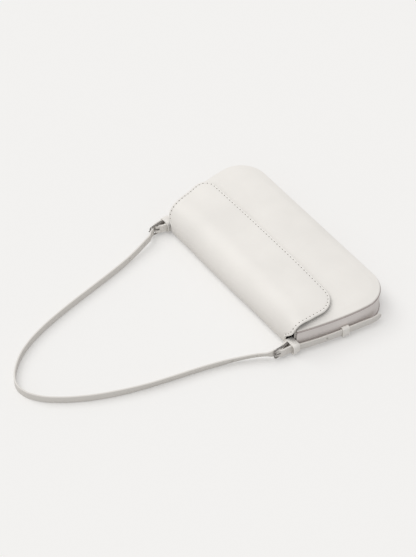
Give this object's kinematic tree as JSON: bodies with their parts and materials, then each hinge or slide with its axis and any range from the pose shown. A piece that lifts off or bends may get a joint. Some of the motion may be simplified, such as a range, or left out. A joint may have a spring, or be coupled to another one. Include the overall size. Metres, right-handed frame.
{
  "type": "flap shoulder bag",
  "caption": "Slim leather shoulder bag with a rounded front flap, a magnetic snap and a narrow strap held by side buckles.",
  "frame": {"origin": "middle of the back panel's outer face, on the surface that the bag lies on", "axes": "+X to the viewer's right with the front up, +Y towards the mouth and the strap, +Z out of the front panel"},
  "size_m": [0.2622, 0.3779, 0.0427],
  "materials": {
    "leather": "satin",
    "leather_edge": "satin",
    "lining": "matt woven",
    "board": "matt",
    "buckle_metal": "polished nickel",
    "snap_metal": "satin nickel"
  },
  "bodies": {
    "shell": {"back_panel": "leather", "front_panel": "leather", "gusset": "leather", "back_piping": "leather_edge", "front_piping": "leather_edge", "base_board": "board", "back_lining": "lining", "front_lining": "lining", "gusset_lining": "lining", "front_facing": "leather", "gusset_facing_left": "leather", "gusset_facing_right": "leather", "slip_pocket": "lining", "snap_socket": "snap_metal", "snap_socket_washer": "snap_metal", "chape_left": "leather", "chape_right": "leather", "upper_keeper_left": "leather", "upper_keeper_right": "leather", "lower_keeper_left": "leather", "lower_keeper_right": "leather", "strap_tail_left": "leather", "strap_tail_right": "leather"},
    "spine": {"flap_spine": "leather", "spine_lining": "lining"},
    "flap": {"flap_front": "leather", "flap_lining": "lining", "snap_stud": "snap_metal", "snap_stud_washer": "snap_metal"},
    "strap": {"strap": "leather"},
    "buckle_left": {"buckle_frame_left": "buckle_metal"},
    "buckle_right": {"buckle_frame_right": "buckle_metal"},
    "prong_left": {"prong_left": "buckle_metal"},
    "prong_right": {"prong_right": "buckle_metal"}
  },
  "joints": [
    {"name": "flap_lift", "type": "hinge", "parent": "shell", "child": "spine", "pos_m": [0, 0.0573, 0.0003], "axis": [-1, 0, 0], "range_deg": [0, 25]},
    {"name": "flap_fold", "type": "hinge", "parent": "spine", "child": "flap", "pos_m": [0, 0.05885, 0.03386], "axis": [-1, 0, 0], "range_deg": [0, 85]},
    {"name": "strap_swing", "type": "hinge", "parent": "shell", "child": "strap", "pos_m": [0, 0.08865, 0.011], "axis": [1, 0, 0], "range_deg": [0, 70]},
    {"name": "buckle_left_turn", "type": "hinge", "parent": "shell", "child": "buckle_left", "pos_m": [-0.107, 0.075, 0.011], "axis": [0, 0, 1], "range_deg": [0, 10]},
    {"name": "buckle_right_turn", "type": "hinge", "parent": "shell", "child": "buckle_right", "pos_m": [0.112, 0.075, 0.011], "axis": [0, 0, -1], "range_deg": [0, 10]},
    {"name": "prong_left_turn", "type": "hinge", "parent": "buckle_left", "child": "prong_left", "pos_m": [-0.107, 0.075, 0.011], "axis": [0, 0, 1], "range_deg": [0, 20]},
    {"name": "prong_right_turn", "type": "hinge", "parent": "buckle_right", "child": "prong_right", "pos_m": [0.112, 0.075, 0.011], "axis": [0, 0, -1], "range_deg": [0, 20]}
  ],
  "couplings": [
    {"joint": "flap_fold", "follows": "flap_lift", "ratio": 3.4}
  ]
}
